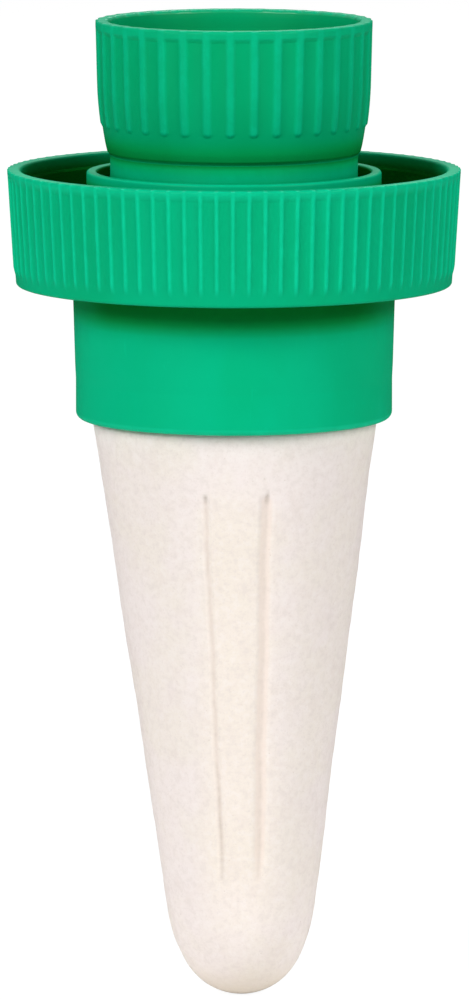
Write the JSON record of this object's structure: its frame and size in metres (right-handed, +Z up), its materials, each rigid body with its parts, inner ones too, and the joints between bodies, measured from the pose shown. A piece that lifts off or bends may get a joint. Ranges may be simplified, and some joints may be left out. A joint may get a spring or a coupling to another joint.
{
  "type": "self watering spike",
  "caption": "Self-watering plant spike: hollow porous clay cone bonded under a green head with a wide ribbed bottle socket and a screwed-in adapter cup for small bottles.",
  "frame": {"origin": "centre of the collar's lower rim, which is the soil line", "axes": "+Z up out of the soil along the head's axis, -Y the front with the grooves seen in the picture, +X to its right"},
  "size_m": [0.0518, 0.0518, 0.1123],
  "materials": {
    "clay": "unglazed porous fired clay, matt",
    "head_plastic": "moulded, soft sheen",
    "adapter_plastic": "moulded, soft sheen",
    "adhesive": "cured silicone, translucent grey",
    "gasket_rubber": "soft silicone",
    "seal_rubber": "black nitrile rubber, matt"
  },
  "bodies": {
    "spike": {"clay_cone": "clay", "socket_body": "head_plastic", "cone_bond": "adhesive", "cone_gasket": "gasket_rubber", "wide_washer": "seal_rubber"},
    "seal": {"neck_seal": "seal_rubber"},
    "adapter": {"bottle_adapter": "adapter_plastic", "bottle_washer": "seal_rubber"}
  },
  "joints": [
    {"name": "adapter_lift", "type": "slide", "parent": "spike", "child": "seal", "axis": [0, 0, 1], "range_m": [0, 0.0072]},
    {"name": "adapter_turn", "type": "hinge", "parent": "seal", "child": "adapter", "pos_m": [0, 0, 0.022], "axis": [0, 0, 1], "range_deg": [0, 864]}
  ],
  "couplings": [
    {"joint": "adapter_lift", "follows": "adapter_turn", "m_per_rad": 0.00047746}
  ]
}
